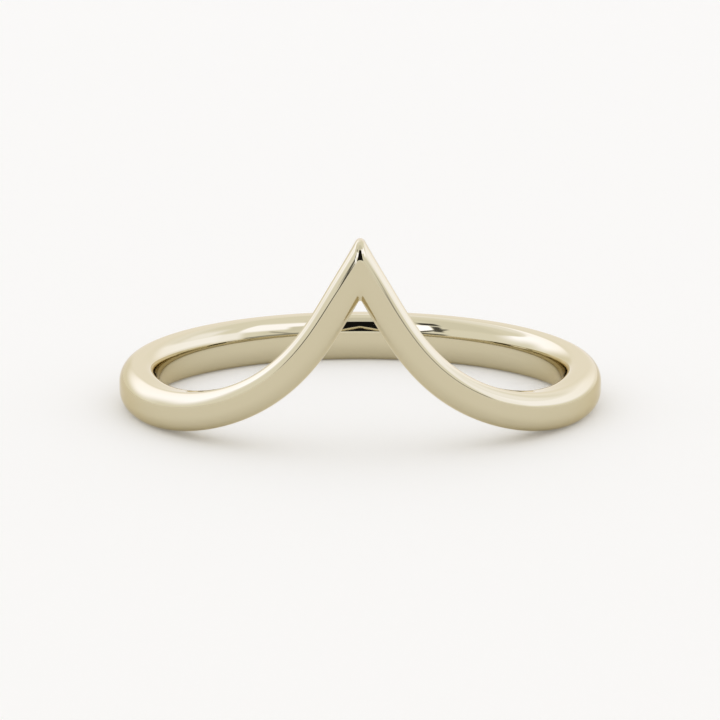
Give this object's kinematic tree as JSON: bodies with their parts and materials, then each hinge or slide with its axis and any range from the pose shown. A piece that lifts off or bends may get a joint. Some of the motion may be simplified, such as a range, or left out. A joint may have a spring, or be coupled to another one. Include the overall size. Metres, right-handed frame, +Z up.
{
  "type": "curved wedding band",
  "caption": "Curved wedding band: a plain polished gold ring whose front rises to a pointed chevron peak, worn on a finger.",
  "frame": {"origin": "centre of the finger bore, on the surface that the ring rests on", "axes": "+Z up along the finger bore, -Y towards the chevron peak at the front, +X to the right seen from the front"},
  "size_m": [0.0204, 0.0204, 0.0086],
  "materials": {
    "polished_gold": "polished pale yellow gold"
  },
  "bodies": {
    "root": {"band": "polished_gold"}
  },
  "joints": []
}
